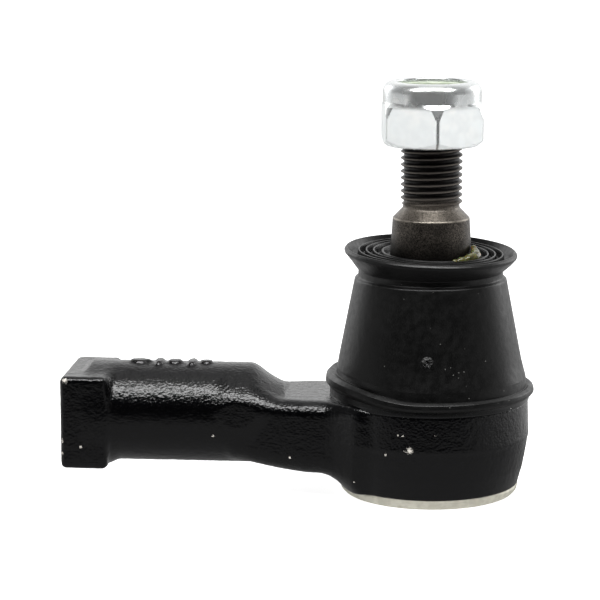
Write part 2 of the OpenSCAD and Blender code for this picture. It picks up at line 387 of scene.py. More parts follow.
def roundCut(first, second, radius):
    u, v = np.maximum(radius + first, 0), np.maximum(radius + second, 0)
    return np.minimum(-radius, np.maximum(first, second)) + np.sqrt(u * u + v * v)


def roundBox(offsets, halves, radius):
    q = [np.abs(o) - (h - radius) for o, h in zip(offsets, halves)]
    outside = np.sqrt(sum(np.maximum(part, 0) ** 2 for part in q))
    return outside + np.minimum(np.maximum.reduce(q), 0) - radius


def socketDistance(x, y, z):
    around = np.sqrt(x * x + y * y)
    wall = np.interp(z, forging["wallHeights"], forging["wallRadii"])
    ridge = 0.15 * np.exp(-((z + 4.9) / 0.6) ** 2)  # where the two halves of the die met
    shape = roundCut(around - wall - ridge, z - flangeLow, 0.3)
    return roundCut(shape, forging["lipHeight"] - z, 0.3)


def shankCurve(x):
    # the thick end falls to the arm in an S-shaped curve: its radius and slope
    fall = np.clip((x - shoulderStart) / shoulderFall, 0, 1)
    drop = shankRadius - (forging["armTop"] - shankAxis)
    slope = np.where((fall > 0) & (fall < 1), drop * np.pi / 2 / shoulderFall * np.sin(np.pi * fall), 0)
    return shankRadius - drop * (1 - np.cos(np.pi * fall)) / 2, slope


def shankDistance(x, y, z):
    radius, slope = shankCurve(x)
    shape = (np.sqrt(y * y + (z - shankAxis) ** 2) - radius) / np.sqrt(1 + slope * slope)
    shape = roundCut(shape, blockEnd - 5 - x, 0.5)
    return roundCut(shape, x + 30, 0.5)


def armEdges(x):
    # half the arm's width, and the height of its underside
    wide = 13.5 + 0.035 * np.maximum(0, x + 26) ** 2 - 0.2 * np.maximum(0, -x - 28)
    back = np.maximum(0, -26 - x)
    low = -12.95 - 0.031 * np.maximum(0, x + 26) ** 2 + 0.045 * back + 0.0048 * back ** 2
    return wide, low


def armDistance(x, y, z):
    wide, low = armEdges(x)
    middle, half = (forging["armTop"] + low) / 2, (forging["armTop"] - low) / 2
    shape = roundBox((y, z - middle), (wide, half), np.where(z > middle, 3.4, 4.2))
    shape = roundCut(shape, -46 - x, 1.5)
    return roundCut(shape, x + 16, 1.0)


def blockDistance(x, y, z):
    halves = (forging["blockLength"] / 2, *forging["blockHalves"])
    return roundBox((x - (shankEnd + blockEnd) / 2, y, z + 2.1), halves, 1.25)


def padsDistance(x, y, z):
    shape = np.full_like(x, 50.0)
    for place, long, wide in forging["pads"]:
        u, v = (x - place) / long, (y + 0.5) / wide
        pad = (np.sqrt(u * u + v * v) - 1) * min(long, wide)
        shape = np.minimum(shape, np.maximum(pad, np.abs(z - 9.8) - 0.95))
    return shape


def forgingDistance(x, y, z):
    around = np.sqrt(x * x + y * y)
    above = easeBetween(z, -5, 2)
    fillet = forging["undersideFillet"] * (1 - above) + forging["shoulderFillet"] * above
    body = roundUnion(shankDistance(x, y, z), armDistance(x, y, z), fillet)
    # the fillets stay below the arm's top, above its underside and inside its width
    _, low = armEdges(x)
    top = forging["armTop"] + 2 * np.maximum(0, shoulderStart + shoulderFall - 0.5 - x)
    low = np.minimum(low, shankAxis - shankCurve(x)[0]) - 0.1
    side = np.interp(x, (-44, -28), (shankRadius + 0.1, 13.6)) + 5 * np.maximum(0, x + 27)
    body = np.maximum(body, np.maximum(low - z, np.abs(y) - side))
    body = roundUnion(body, socketDistance(x, y, z), forging["socketFillet"])
    body = np.maximum(body, (z - top) * 0.45)
    body = roundCut(body, forging["lipHeight"] - z, 0.3)
    body = roundUnion(body, blockDistance(x, y, z), forging["blockFillet"])
    body = roundUnion(body, padsDistance(x, y, z), 0.6)
    hole = np.sqrt(y * y + (z - shankAxis) ** 2) - np.maximum(8.5, 8.7 + (shankEnd + 0.2 - x))
    body = np.maximum(body, -np.maximum(hole, x - holeEnd))
    return np.maximum(body, boreRadius - around)


def growSurface(distance, low, high, cell):
    # one point for each cell that the surface crosses, pulled onto it along the slope
    sides = [np.arange(a, b + cell, cell) for a, b in zip(low, high)]
    grid = np.meshgrid(*sides, indexing="ij")
    values = distance(*grid)
    inside = values < 0
    shape = tuple(n - 1 for n in values.shape)
    count, total = np.zeros(shape), np.zeros((3, *shape))
    for axis in range(3):
        step = [0, 0, 0]
        step[axis] = 1
        others = [a for a in range(3) if a != axis]
        size = [n - 1 if a == axis else n for a, n in enumerate(values.shape)]
        here = values[:size[0], :size[1], :size[2]]
        there = values[step[0]:, step[1]:, step[2]:]
        crossed = (here < 0) != (there < 0)
        share = np.where(crossed, here / np.where(crossed, here - there, 1), 0)
        for i in (0, 1):
            for j in (0, 1):
                cut = [slice(None)] * 3
                cut[others[0]] = slice(i, i + shape[others[0]])
                cut[others[1]] = slice(j, j + shape[others[1]])
                cut = tuple(cut)
                hit = crossed[cut]
                count += hit
                total[axis] += np.where(hit, share[cut], 0)
                total[others[0]] += np.where(hit, i, 0)
                total[others[1]] += np.where(hit, j, 0)
    used = count > 0
    index = -np.ones(shape, int)
    index[used] = np.arange(used.sum())
    cells = np.argwhere(used)
    points = (cells + (total[:, used] / count[used]).T) * cell + np.array([s[0] for s in sides])

    faces = []
    for axis in range(3):
        b, c = (axis + 1) % 3, (axis + 2) % 3
        cut = [slice(1, -1)] * 3
        cut[axis] = slice(0, -1)
        here = inside[tuple(cut)]
        cut[axis] = slice(1, None)
        there = inside[tuple(cut)]
        start = np.array([1, 1, 1])
        start[axis] = 0
        for flip, crossed in ((False, here & ~there), (True, ~here & there)):
            at = np.argwhere(crossed) + start
            corners = []
            for i, j in ((0, 0), (1, 0), (1, 1), (0, 1)):
                corner = at.copy()
                corner[:, b] -= i
                corner[:, c] -= j
                corners.append(index[tuple(corner.T)])
            quads = np.stack(corners if not flip else corners[::-1], axis=1)
            faces.append(quads)
    faces = np.concatenate(faces)

    for _ in range(3):
        d = distance(*points.T)
        slope = np.stack([(distance(*(points + shift).T) - distance(*(points - shift).T)) / 0.04
                          for shift in np.eye(3) * 0.02], axis=1)
        steep = np.maximum((slope ** 2).sum(1), 0.25)
        points = points - slope * np.clip(d / steep, -0.35 * cell, 0.35 * cell)[:, None]
    steep = np.sqrt(np.maximum((slope ** 2).sum(1), 1e-9))
    return points, faces, slope / steep[:, None]


def makeForging():
    low, high = (shankEnd - 1.0, -26, -18), (25.5, 26, 11.6)
    points, faces, outward = growSurface(forgingDistance, low, high, forging["cell"])
    rough = [noise.noise(Vector(p) * 0.75) + 0.6 * noise.noise(Vector(p) * 1.7) for p in points]
    around = np.hypot(points[:, 0], points[:, 1])
    machined = (points[:, 2] > flangeLow - 0.3) & (around < flangeRadius + 0.15)
    plain = (around < boreRadius + 0.55) | machined | (points[:, 2] < forging["lipHeight"] + 0.3)
    points = points + outward * (np.where(plain, 0, forging["skin"]) * np.array(rough))[:, None]
    points[:, 0] = np.maximum(points[:, 0], shankEnd)
    return makePiece("forging", points, faces, sharpAngle=60, weld=0.0)


forgingFinish = {
    "black": (0.0003, 0.0003, 0.0005), "worn": (0.0008, 0.0008, 0.0011), "bare": (0.55, 0.52, 0.47),
    "gloss": 0.13, "dull": 0.20, "pitDepth": 0.115,
    # chips in the paint: place and radius
    "chips": (((-3.5, -22.2, -4.3), 0.62), ((-4.6, -22.0, -4.6), 0.3), ((-5.9, -21.6, -10.2), 0.3),
              ((1.8, -22.3, -9.9), 0.24), ((-5.0, -21.9, -1.2), 0.24), ((-6.1, -21.6, -1.0), 0.2),
              ((2.2, -22.4, -0.9), 0.2), ((-16.9, -14.7, -8.3), 0.3), ((-8.9, -20.6, -5.8), 0.24),
              ((-15.6, -16.0, -6.6), 0.22), ((-82.4, -12.1, 7.9), 0.55), ((-83.4, -12.1, -6.2), 0.4),
              ((-83.4, -12.1, -9.2), 0.35), ((-79.0, -12.3, -7.6), 0.28), ((-48.7, -11.0, -4.6), 0.22)),
}


def finishForging():
    f = forgingFinish
    material, tree, shader = newMaterial("blackPaintOnForging", Specular_IOR_Level=0.5)
    place = objectPlace(tree)[0]
    grain = useGroup(tree, grainGroup, Coarse_Scale=1900.0, Fine_Scale=4200.0, Fine_Share=0.2)
    chipped = useGroup(tree, chipsGroup, Scale=190.0, Size=0.08, Share=0.2)["Mask"]
    ragged = spread(tree, noiseAt(tree, place, 4600.0, 3.0, 0.7), 0.40, 0.60, 0.1, 1.5)
    for centre, radius in f["chips"]:
        edge = calculate(tree, "MULTIPLY", ragged, radius * mm)
        chip = calculate(tree, "LESS_THAN", distanceFrom(tree, place, centre), edge)
        chipped = calculate(tree, "MAXIMUM", chipped, chip)
    black = mixColours(tree, grain["Mask"], f["black"], f["worn"])
    setInput(tree, shader.inputs["Base Color"], mixColours(tree, chipped, black, f["bare"]))
    setInput(tree, shader.inputs["Roughness"], spread(tree, grain["Mask"], 0, 1, f["dull"], f["gloss"]))
    bumpInto(tree, shader, grain["Height"], f["pitDepth"])
    return material


forgingPaint = finishForging()
finishPiece(makeForging(), forgingPaint, "forging", "socket", "housing")
print("forging made")

ring = evenAngles(160)


def finishMachinedPaint():
    material, tree, shader = newMaterial("blackPaintOnMachined", Specular_IOR_Level=0.5)
    grain = useGroup(tree, grainGroup, Coarse_Scale=300.0, Fine_Scale=3000.0, Fine_Share=0.25)
    dust = useGroup(tree, dustGroup, Speck_Share=0.12)
    black = mixColours(tree, grain["Mask"], (0.0006, 0.0006, 0.0009), (0.0012, 0.0012, 0.0016))
    colour = mixColours(tree, dust["Specks"], black, (0.25, 0.25, 0.24))
    setInput(tree, shader.inputs["Base Color"], colour)
    setInput(tree, shader.inputs["Roughness"], spread(tree, grain["Mask"], 0, 1, 0.30, 0.20))
    bumpInto(tree, shader, grain["Height"], 0.02, 0.6)
    return material


def makeMachinedCollar():
    corners = [(boreRadius, -1.0, 0), (17.6, -1.0, 0), (17.6, 3.1, 0), (flangeRadius - 0.2, 3.1, 0),
               (flangeRadius, flangeLow + 0.1, 0.15), (flangeRadius, flangeHigh, 0.25),
               (spigotRadius, flangeHigh, 0.2), (spigotRadius, 8.35, 0.4), (spigotRadius - 2.2, 10.55, 0.4),
               (14.85, 10.55, 0.3), (12.89, 7.75, 0.3), (boreRadius, 7.75, 0)]
    return makePiece("machined_collar", *spinLine(denseLine(roundCorners(corners), 1.5), ring))


def makeRolledLip():
    corners = [(boreRadius, -17.5, 0), (17.6, -17.5, 0), (17.6, -16.3, 0), (20.25, -16.3, 0),
               (20.42, -16.75, 0.25), (20.15, -17.75, 0.8), (19.35, socketLow, 0.5),
               (boreRadius, socketLow, 0.25)]
    return makePiece("rolled_lip", *spinLine(denseLine(roundCorners(corners, steps=6), 1.2), ring))


def finishBareSteel(name, bright, dark, roughness, scale, metallic=1.0):
    material, tree, shader = newMaterial(name, Metallic=metallic)
    grain = useGroup(tree, grainGroup, Coarse_Scale=scale, Fine_Scale=scale * 4, Fine_Share=0.4)
    setInput(tree, shader.inputs["Base Color"], mixColours(tree, grain["Mask"], dark, bright))
    gloss = spread(tree, grain["Mask"], 0, 1, roughness + 0.1, roughness)
    setInput(tree, shader.inputs["Roughness"], gloss)
    bumpInto(tree, shader, grain["Height"], 0.02, 0.5)
    return material


machinedPaint = finishMachinedPaint()
lipSteel = finishBareSteel("bareLipSteel", (0.68, 0.66, 0.565), (0.57, 0.55, 0.465), 0.34, 600.0, 0.55)
finishPiece(makeMachinedCollar(), machinedPaint, "forging", "socket", "housing")
finishPiece(makeRolledLip(), lipSteel, "forging", "socket", "housing")


# Internal thread of the shank, turned about the shank's axis.

shankThread = {"pitch": 1.5, "crest": 7.2, "root": 8.05, "depth": 38.0, "mouth": 8.42, "outside": 8.72,
               "back": -5.2}


def makeShankThread():
    s = shankThread
    low, high = 0.0, s["depth"] - 1.2  # the chamfer at the mouth is 1.2 deep
    profile = threadProfile(s["pitch"], s["root"], s["crest"])
    angles = evenAngles(96)

    def trim(radius, z):
        return radius if 0.4 < z < high - 0.4 else max(radius, s["crest"] + 0.4)

    # the thread runs from the drill point (low end) to the chamfer at the mouth (high end)
    side = threadSide(low, high, s["pitch"], 0.3, profile, trim, angles)
    ringLow, ringHigh = math.hypot(*side[0][0][:2]), math.hypot(*side[0][-1][:2])
    outside, back = s["outside"], s["back"]
    sleeve = [(ringHigh, high), (s["mouth"], s["depth"]), (outside, s["depth"]), (outside, back), (0, back),
              (0, back + 0.6), (ringLow, low)]
    cap = spinLine([np.array(p) for p in sleeve], angles, closed=False)
    points, faces = joinParts(side, cap)
    points = [(shankEnd + s["depth"] - z, px, shankAxis + py) for px, py, z in points]
    return makePiece("shank_thread", points, faces, sharpAngle=35)


threadSteel = finishBareSteel("cutThreadSteel", (0.20, 0.19, 0.175), (0.10, 0.095, 0.09), 0.38, 900.0)
finishPiece(makeShankThread(), threadSteel, "forging", "socket", "housing")
print("socket trim made")


# Ball stud: ball, neck, land, taper, shoulder and a cut thread in one piece.

stud = {"ball": 13.5, "ballFlat": 12.6, "neck": 7.4, "land": 9.47, "landLow": 26.0, "landHigh": 32.6,
        "taperTop": 44.6, "taperTopRadius": 8.72, "shoulderTop": 46.85, "tip": 5.95,
        # thread
        "pitch": 1.5, "anchor": 0.4, "crest": 7.0, "root": 6.24, "runOut": 6.4, "threadLow": 47.2,
        # painted shade: the taper is painted darker towards the boot, between these heights
        "shadeHigh": 41.5, "shadeLow": 36.5}

# the taper's dark colour and the thread roots' colour are painted shade; the shoulder, edge and thread
# crests' colours are painted highlights
studColours = {"specks": ((0.015, 0.0135, 0.0115), (0.155, 0.136, 0.116)), "patches": (0.028, 0.025, 0.022),
               "paintedShade": (0.005, 0.0045, 0.004), "shoulder": (0.175, 0.153, 0.128), "edge": (0.25, 0.225, 0.19),
               "threadRootShade": (0.006, 0.005, 0.0045), "threadCrestHighlight": (0.15, 0.135, 0.12)}


def makeStud():
    low, top, tip = stud["threadLow"], studTop, stud["tip"]
    angles = evenAngles(128)

    def trim(radius, z):
        floor = np.interp(z, (low, low + 0.2, low + 1.6), (stud["runOut"], stud["runOut"], stud["root"]))
        ceiling = np.interp(z, (low, low + 0.3, low + 1.0, top - 1.1, top),
                            (stud["runOut"], stud["runOut"], stud["crest"], stud["crest"], tip))
        return float(min(max(radius, floor), ceiling))

    profile = threadProfile(stud["pitch"], stud["root"], stud["crest"])
    side = threadSide(low, top, stud["pitch"], stud["anchor"], profile, trim, angles)
    ball, flat, neck = stud["ball"], stud["ballFlat"], stud["neck"]
    start, stop = math.acos(flat / ball), math.pi - math.asin(neck / ball)
    line = [np.array([0.0, -flat])]
    line += [np.array([ball * math.sin(a), -ball * math.cos(a)]) for a in np.linspace(start, stop, 40)]
    line += roundCorners([(neck, 11.3, 0), (neck, 23.0, 2.0), (stud["land"], stud["landLow"], 0.6),
                          (stud["land"], stud["landHigh"], 0.3),
                          (stud["taperTopRadius"], stud["taperTop"], 0.28),
                          (6.55, stud["shoulderTop"], 0.5), (stud["runOut"], low, 0)])[1:]
    body = spinLine(denseLine(line, 1.0, closed=False), angles, closed=False)
    end = spinLine([np.array([r, top]) for r in (tip, 3.0, 0.0)], angles, closed=False)
    return makePiece("stud", *joinParts(body, side, end), sharpAngle=35)


def finishStud():
    material, tree, shader = newMaterial("studSteelWithPaintedLight", Specular_IOR_Level=0.5)
    place, x, y, z = objectPlace(tree)
    grain = useGroup(tree, grainGroup, Coarse_Scale=1400.0, Fine_Scale=5200.0, Fine_Share=0.7)
    speck = noiseAt(tree, place, 3200.0, 2.0, 0.7)
    patch = noiseAt(tree, place, 260.0, 4.0, 0.6)
    warm = mixColours(tree, spread(tree, speck, 0.36, 0.66), *studColours["specks"])
    warm = mixColours(tree, spread(tree, patch, 0.42, 0.7, 0.0, 0.5), warm, studColours["patches"])
    # painted shade: the lower taper, next to the boot, is painted darker
    taperShade = spread(tree, z, stud["shadeHigh"] * mm, stud["shadeLow"] * mm, 0.0, 0.85)
    warm = mixColours(tree, taperShade, warm, studColours["paintedShade"])
    # painted highlight: the upward-facing shoulder above the taper is painted lighter, and a thin broken line
    # along the edge between them is painted lighter still
    shoulder = spread(tree, z, (stud["taperTop"] + 0.1) * mm, (stud["taperTop"] + 0.6) * mm)
    shoulderHighlight = calculate(tree, "MULTIPLY", shoulder, spread(tree, speck, 0.36, 0.6, 0.25, 0.8))
    warm = mixColours(tree, shoulderHighlight, warm, studColours["shoulder"])
    fromEdge = calculate(tree, "ABSOLUTE", calculate(tree, "SUBTRACT", z, stud["taperTop"] * mm))
    edgeHighlight = spread(tree, fromEdge, 0.3 * mm, 0.1 * mm)
    edgeHighlight = calculate(tree, "MULTIPLY", edgeHighlight, spread(tree, patch, 0.40, 0.52, 0.15, 1.0))
    warm = mixColours(tree, edgeHighlight, warm, studColours["edge"])
    threadMask = spread(tree, z, (stud["threadLow"] + 0.1) * mm, (stud["threadLow"] + 2.8) * mm)
    # painted light on the thread: the roots are painted dark as shade and the crests painted light as
    # highlights
    around = distanceFromAxis(tree, x, y)
    crest = spread(tree, around, (stud["crest"] - 0.3) * mm, (stud["crest"] - 0.02) * mm)
    threadPaintedLight = mixColours(tree, crest, studColours["threadRootShade"], studColours["threadCrestHighlight"])
    setInput(tree, shader.inputs["Base Color"], mixColours(tree, threadMask, warm, threadPaintedLight))
    setInput(tree, shader.inputs["Metallic"], spread(tree, crest, 0, 1, 0.55, 0.8))
    setInput(tree, shader.inputs["Roughness"], spread(tree, grain["Mask"], 0, 1, 0.42, 0.28))
    bumpInto(tree, shader, grain["Height"], 0.05, 0.7)
    return material


studSteel = finishStud()
finishPiece(makeStud(), studSteel, "stud_steel", "stud", "ball_stud")
print("stud made")


# Lock nut: hexagon with chamfered corners, round collar and an internal thread.

nut = {"acrossFlats": 22.0, "hexHeight": 10.0, "clock": 8.0, "cornerRound": 1.2, "collarInset": -0.12,
       "domeWidth": 1.9, "domeHeight": 2.3, "opening": 8.0, "faceInset": 0.7, "crest": 6.36, "root": 7.06,
       "mouth": 8.0, "relief": 7.2, "pocket": 9.55,
       # the corners are struck back further towards the collar: radius there, and rise for each millimetre
       "struckRadius": 12.0, "struckSlope": 4.5}

zinc = {"dull": (0.75, 0.775, 0.775), "cool": (0.80, 0.83, 0.83), "warm": (0.84, 0.85, 0.835),
        "turnedMetallic": 0.88, "flatMetallic": 0.43, "flatRoughening": 0.3}


def makeNut():
    low, high = nutLow, nutHigh
    apothem, hexTop = nut["acrossFlats"] / 2, nutLow + nut["hexHeight"]
    clock = math.radians(nut["clock"] - 90)
    threadHigh = hexTop + 0.2
    mouth, relief, pocket = nut["mouth"], nut["relief"], nut["pocket"]

    reach = (apothem - nut["cornerRound"]) / math.cos(math.pi / 6)
    blunt = math.pi / 6 - math.atan(reach / 2 / apothem)  # half the angle that a rounded corner takes up
    shares = [i / 6 for i in range(-6, 6)]
    angles = [a % fullTurn for k in range(6) for a in
              [clock + k * math.pi / 3 + blunt * share for share in shares]
              + [clock + k * math.pi / 3 + blunt + (math.pi / 3 - 2 * blunt) * i / 16 for i in range(16)]]
    angles.sort()

    def sideRadius(a):
        turned = (a - clock + math.pi / 6) % (math.pi / 3) - math.pi / 6
        if abs(turned) >= blunt:
            return apothem / math.cos(math.pi / 6 - abs(turned))
        across = reach * math.sin(turned)
        return reach * math.cos(turned) + math.sqrt(nut["cornerRound"] ** 2 - across ** 2)

    def trim(radius, z):
        floor = np.interp(z, (low, low + 1.0, threadHigh - 0.6, threadHigh),
                          (mouth, nut["crest"], nut["crest"], relief))
        ceiling = np.interp(z, (low, low + 0.6, threadHigh), (mouth, nut["root"] + 0.3, relief))
        return float(max(min(radius, max(ceiling, floor)), floor))

    profile = threadProfile(stud["pitch"], nut["root"], nut["crest"])
    anchor = stud["anchor"] + stud["pitch"] / 2  # each crest sits in a root of the stud's thread
    side = threadSide(low, threadHigh, stud["pitch"], anchor, profile, trim, angles)

    def outline(a):
        r, face = sideRadius(a), apothem - nut["faceInset"]
        rise = max(r - face, 0) * math.tan(math.pi / 6)
        struck = min(r, nut["struckRadius"])
        struckRise = (struck - face) * math.tan(math.pi / 6)
        struckFall = (r - struck) * nut["struckSlope"] + 0.02
        collar = apothem - nut["collarInset"]
        dome = [(collar - nut["domeWidth"] * (1 - math.cos(t)),
                 high - nut["domeHeight"] * (1 - math.sin(t)), 0) for t in np.linspace(0, math.pi / 2, 9)]
        return roundCorners([
            (mouth, low, 0), (face, low, 0.35), (r, low + rise * 1.3, 0.3),
            (r, hexTop - struckRise - struckFall, 0.5), (struck, hexTop - struckRise, 0.25),
            (collar, hexTop - 0.02, 0.25), *dome, (nut["opening"], high, 0.35),
            (nut["opening"], insertHigh + 0.05, 0), (pocket, insertHigh + 0.05, 0),
            (pocket, insertLow - 0.05, 0), (relief, insertLow - 0.05, 0), (relief, threadHigh, 0)], steps=5)

    shell = spinLine(outline, angles, closed=False)
    return makePiece("locking_nut", *joinParts(side, shell), sharpAngle=32)


def finishZinc():
    material, tree, shader = newMaterial("zincPlate")
    place, x, y, z = objectPlace(tree)
    grain = useGroup(tree, grainGroup, Coarse_Scale=420.0, Fine_Scale=3000.0, Fine_Share=0.3)
    flash = noiseAt(tree, place, 130.0, 3.0, 0.6)
    tint = mixColours(tree, spread(tree, flash, 0.4, 0.62), zinc["cool"], zinc["warm"])
    # the flats are drawn and blasted, the collar and the chamfers are turned and bright
    around = distanceFromAxis(tree, x, y)
    hexTop, apothem = nutLow + nut["hexHeight"], nut["acrossFlats"] / 2
    hexMask = spread(tree, z, (hexTop - 0.4) * mm, (hexTop - 1.4) * mm)
    outer = spread(tree, around, (apothem - 0.5) * mm, (apothem - 0.2) * mm)
    hexMask = calculate(tree, "MULTIPLY", hexMask, outer)
    clock = math.radians(nut["clock"] - 90)
    bearing = calculate(tree, "SUBTRACT", calculate(tree, "ARCTAN2", y, x), clock)
    fromCorner = calculate(tree, "PINGPONG", bearing, math.pi / 6)
    hexMask = calculate(tree, "MULTIPLY", hexMask, spread(tree, fromCorner, 0.018, 0.034))
    struckTop = hexTop - (nut["struckRadius"] - apothem + nut["faceInset"]) * math.tan(math.pi / 6)
    struck = calculate(tree, "DIVIDE", calculate(tree, "SUBTRACT", struckTop * mm, z), nut["struckSlope"])
    inward = calculate(tree, "SUBTRACT", calculate(tree, "ADD", struck, nut["struckRadius"] * mm), around)
    hexMask = calculate(tree, "MULTIPLY", hexMask, spread(tree, inward, 0.04 * mm, 0.10 * mm))
    setInput(tree, shader.inputs["Base Color"], mixColours(tree, grain["Mask"], zinc["dull"], tint))
    metallic = spread(tree, hexMask, 0, 1, zinc["turnedMetallic"], zinc["flatMetallic"])
    setInput(tree, shader.inputs["Metallic"], metallic)
    gloss = spread(tree, grain["Mask"], 0, 1, 0.30, 0.20)
    roughness = calculate(tree, "MULTIPLY_ADD", hexMask, zinc["flatRoughening"], gloss)
    setInput(tree, shader.inputs["Roughness"], roughness)
    bumpInto(tree, shader, grain["Height"], 0.03, 0.6)
    return material


zincPlate = finishZinc()
finishPiece(makeNut(), zincPlate, "nut_zinc", "nut", "lock_nut")


def makeInsertRing():
    hole, rim = 7.05, nut["pocket"] - 0.05
    corners = [(hole, insertLow, 0.2), (rim, insertLow, 0.1), (rim, insertHigh, 0.1),
               (hole, insertHigh, 0.35)]
    line = denseLine(roundCorners(corners, steps=5), 0.8)
    return makePiece("nylon_ring", *spinLine(line, evenAngles(128)))


def finishNylon():
    material, tree, shader = newMaterial("nylon", Roughness=0.42, Subsurface_Weight=0.25,
                                         Subsurface_Scale=0.0015, Subsurface_Radius=(1.0, 1.0, 0.8))
    grain = useGroup(tree, grainGroup, Coarse_Scale=500.0, Fine_Scale=2500.0, Fine_Share=0.3)
    setInput(tree, shader.inputs["Base Color"],
             mixColours(tree, grain["Mask"], (0.50, 0.56, 0.44), (0.62, 0.67, 0.55)))
    bumpInto(tree, shader, grain["Height"], 0.03, 0.5)
    return material


finishPiece(makeInsertRing(), finishNylon(), "insert_nylon", "insert", "nut_insert")
print("nut made")


# Dust boot: two stacked rings that share a seam.

boot = {"rim": 19.65, "wall": 2.0, "seam": 17.5, "dish": 35.2, "ridgeTop": 36.9,
        "ridges": (12.95, 14.6, 16.3), "ridgeWidth": 0.55, "foot": 21.1, "shoulder": 17.2, "waist": 16.4,
        # grooves that hold the base ring and the neck ring, and the hole round the stud
        "baseGroove": 21.8, "neckGroove": 11.57, "hole": 9.77,
        # the bead rides up by this much where the arm meets the socket
        "beadLift": 3.2,
        # the rim has settled a little askew: rise per millimetre to +X and to +Y
        "leanX": -0.033, "leanY": 0.028}

rubber = {"dark": (0.0008, 0.0008, 0.0008), "light": (0.0014, 0.0014, 0.0014),
          "smears": (0.0040, 0.0040, 0.0038), "specks": (0.09, 0.09, 0.085), "roughness": (0.42, 0.32),
          "gate": (0.2, -20.5, 14.8)}


def bootRadiusAt(z):
    # the cone between the bead and the neck
    t = min(max((z - 11.0) / 20.0, 0), 1)
    return boot["shoulder"] + (boot["foot"] - boot["shoulder"]) * (1 - t)


def makeBootLower(angles):
    seam, groove, lip = boot["seam"], boot["baseGroove"], spigotRadius + 0.05
    cone = [(bootRadiusAt(z), z, 0) for z in np.arange(15.0, seam - 0.2, 0.8)]
    inner = [(bootRadiusAt(seam) - boot["wall"], seam, 0), (18.9, 11.6, 0), (18.35, 10.62, 0), (lip, 8.42, 0),
             (groove, 8.40, 0), (groove, 5.45, 0), (lip, 5.45, 0), (lip, 5.05, 0), (22.85, 5.05, 0)]

    def outline(a):
        lift = boot["beadLift"] * float(easeBetween(-math.cos(a), 0.1, 1.0))
        bead = [(22.85, 4.32, 0), (22.8, 4.4 + 0.45 * lift, 0.1), (23.35, 4.55 + 0.6 * lift, 0.3),
                (23.85, 5.2 + 0.6 * lift, 0.4), (23.65, 6.1 + 0.75 * lift, 0.35),
                (22.9, 6.65 + 0.85 * lift, 0.35), (22.15 - 0.25 * lift, 6.3 + 0.8 * lift, 0.12)]
        wall = [(22.02 - 0.27 * lift, 7.5 + 0.75 * lift, 0.3),
                (21.87 - 0.23 * lift, 8.55 + 0.55 * lift, 1.0), (bootRadiusAt(12.2), 12.2, 40.0)]
        return roundCorners(bead + wall + cone + [(bootRadiusAt(seam), seam, 0)] + inner, steps=5)

    return makePiece("boot_lower", *spinLine(outline, angles), sharpAngle=50)


def makeBootUpper(angles):
    seam, top, dish, crestHigh = boot["seam"], bootTop, boot["dish"], boot["ridgeTop"]
    hole, groove, neckFloor = boot["hole"], boot["neckGroove"], 25.5
    cone = [(bootRadiusAt(z), z, 0) for z in np.arange(seam + 0.8, 29.5, 0.8)]
    neck = [(bootRadiusAt(30.8), 30.8, 0.5), (boot["waist"] + 0.1, 31.3, 0.35), (boot["waist"], 32.6, 0.5),
            (boot["rim"] - 0.15, 36.2, 0.3), (boot["rim"], 36.75, 0.3), (boot["rim"] - 0.6, top, 0.35)]
    floor = [(17.9, dish + 0.5, 0.6)]
    for r in reversed(boot["ridges"]):
        foot, crest = boot["ridgeWidth"] / 2 + 0.15, boot["ridgeWidth"] * 0.3
        floor += [(r + foot, dish, 0.15), (r + crest, crestHigh, 0.1), (r - crest, crestHigh, 0.1),
                  (r - foot, dish, 0.15)]
    lips = [(11.6, dish, 0.2), (11.15, 36.7, 0.15), (10.7, 36.7, 0.15), (10.3, dish + 0.2, 0.15),
            (hole, dish - 0.2, 0.15), (hole, neckRingHigh + 0.05, 0), (groove, neckRingHigh + 0.05, 0),
            (groove, neckRingLow - 0.05, 0), (hole, neckRingLow - 0.05, 0), (hole, neckFloor, 0.2),
            (13.4, neckFloor, 0.5), (bootRadiusAt(25.0) - boot["wall"], 23.5, 0)]
    inner = [(bootRadiusAt(seam) - boot["wall"], seam, 0), (bootRadiusAt(seam), seam, 0)]
    line = denseLine(roundCorners(cone + neck + floor + lips + inner, steps=4), 0.9)
    points, faces = spinLine(line, angles)
    points = [(x, y, z + (boot["leanX"] * x + boot["leanY"] * y) * float(easeBetween(z, 31.7, 35.5)))
              for x, y, z in points]
    return makePiece("boot_upper", points, faces, sharpAngle=50)


def finishRubber():
    material, tree, shader = newMaterial("bootRubber", Specular_IOR_Level=0.40)
    place = objectPlace(tree)[0]
    grain = useGroup(tree, grainGroup, Coarse_Scale=620.0, Fine_Scale=4200.0, Fine_Share=0.5)
    dust = useGroup(tree, dustGroup, Speck_Scale=1700.0, Speck_Share=0.06, Smear_Scale=70.0)
    black = mixColours(tree, grain["Mask"], rubber["dark"], rubber["light"])
    smears = calculate(tree, "MULTIPLY", dust["Smears"], 0.35)
    black = mixColours(tree, smears, black, rubber["smears"])
    colour = mixColours(tree, dust["Specks"], black, rubber["specks"])
    setInput(tree, shader.inputs["Base Color"], colour)
    # the torn stub of the moulding gate
    torn = spread(tree, distanceFrom(tree, place, rubber["gate"]), 1.7 * mm, 0.9 * mm)
    lumps = calculate(tree, "MULTIPLY", torn, noiseAt(tree, place, 1500.0, 2.0, 0.6))
    plain = spread(tree, grain["Mask"], 0, 1, *rubber["roughness"])
    setInput(tree, shader.inputs["Roughness"], calculate(tree, "MULTIPLY_ADD", torn, -0.17, plain))
    bumpInto(tree, shader, calculate(tree, "MULTIPLY_ADD", lumps, 14.0, grain["Height"]), 0.045, 0.85)
    return material


bootRubber = finishRubber()
bootAngles = evenAngles(192)
bootLower = finishPiece(makeBootLower(bootAngles), bootRubber, "boot_rubber", None, "dust_boot")
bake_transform(bootLower)
bootUpper = finishPiece(makeBootUpper(bootAngles), bootRubber, "boot_rubber", None, "dust_boot")
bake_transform(bootUpper)
print("boot made")


# A smear of grease pushed out between the stud and the boot.

